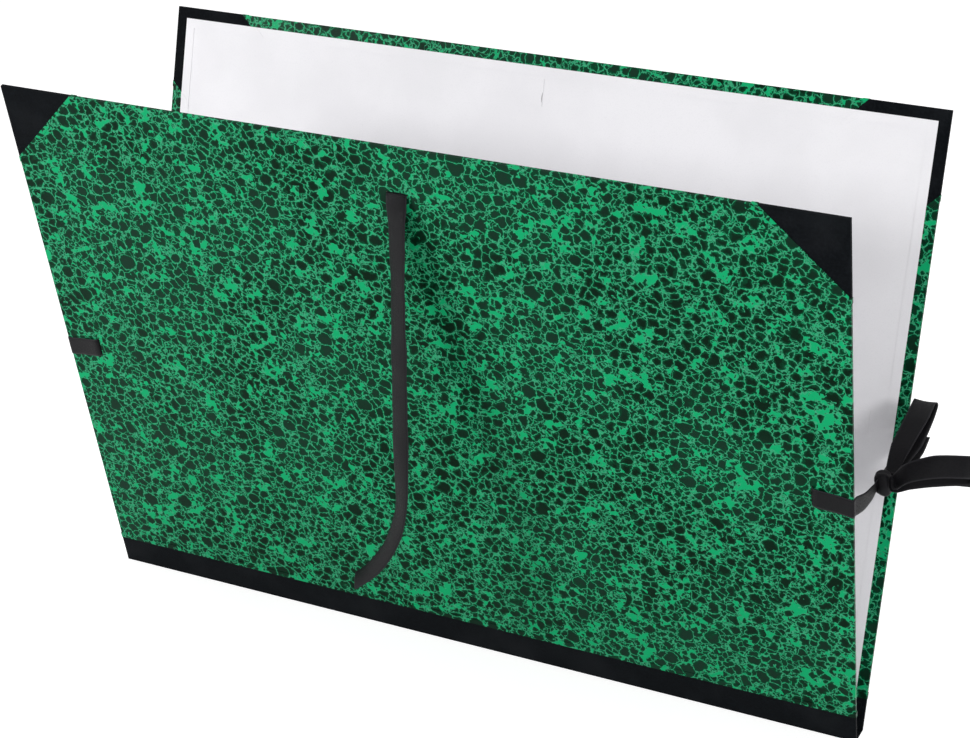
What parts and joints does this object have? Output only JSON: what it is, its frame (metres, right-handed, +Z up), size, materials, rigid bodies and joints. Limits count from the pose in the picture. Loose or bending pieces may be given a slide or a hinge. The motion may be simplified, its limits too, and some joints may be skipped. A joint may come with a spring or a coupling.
{
  "type": "drawing portfolio",
  "caption": "Large drawing portfolio with marbled covers, cloth spine and corners and ribbon ties, standing open to hold sheets between its covers.",
  "frame": {"origin": "middle of the underside of the spine, on the surface the portfolio stands on", "axes": "+X along the spine to the right of the front cover, +Y from the front cover to the back cover, +Z up"},
  "size_m": [0.8028, 0.2716, 0.5054],
  "materials": {
    "board": "grey pressed bookbinding board",
    "marbled_paper": "glossy bright green and black marbled paper",
    "lining": "matt white lining paper",
    "book_cloth": "fine black bookbinding cloth",
    "ribbon": "black woven ribbon with a slight sheen"
  },
  "bodies": {
    "spine": {"spine_cloth": "book_cloth", "inner_hinge_cloth": "book_cloth", "bow_knot": "ribbon", "bow_right_loop": "ribbon", "bow_upper_loop": "ribbon", "bow_right_tail": "ribbon", "bow_upper_tail": "ribbon"},
    "front_cover": {"front_board": "board", "front_marbled_paper": "marbled_paper", "front_lining": "lining", "front_corner_left": "book_cloth", "front_corner_right": "book_cloth", "front_top_ribbon": "ribbon", "front_left_ribbon": "ribbon", "front_right_ribbon": "ribbon"},
    "back_cover": {"back_board": "board", "back_marbled_paper": "marbled_paper", "back_lining": "lining", "back_corner_left": "book_cloth", "back_corner_right": "book_cloth", "back_top_ribbon": "ribbon", "back_left_ribbon": "ribbon", "back_right_ribbon": "ribbon"}
  },
  "joints": [
    {"name": "front_cover_hinge", "type": "hinge", "parent": "spine", "child": "front_cover", "pos_m": [0, -0.01, 0], "axis": [-1, 0, 0], "range_deg": [0, 14], "deforming": ["spine_cloth", "inner_hinge_cloth", "front_right_ribbon"]},
    {"name": "back_cover_hinge", "type": "hinge", "parent": "spine", "child": "back_cover", "pos_m": [0, 0.01, 0], "axis": [1, 0, 0], "range_deg": [0, 14], "deforming": ["spine_cloth", "inner_hinge_cloth", "back_right_ribbon"]}
  ]
}
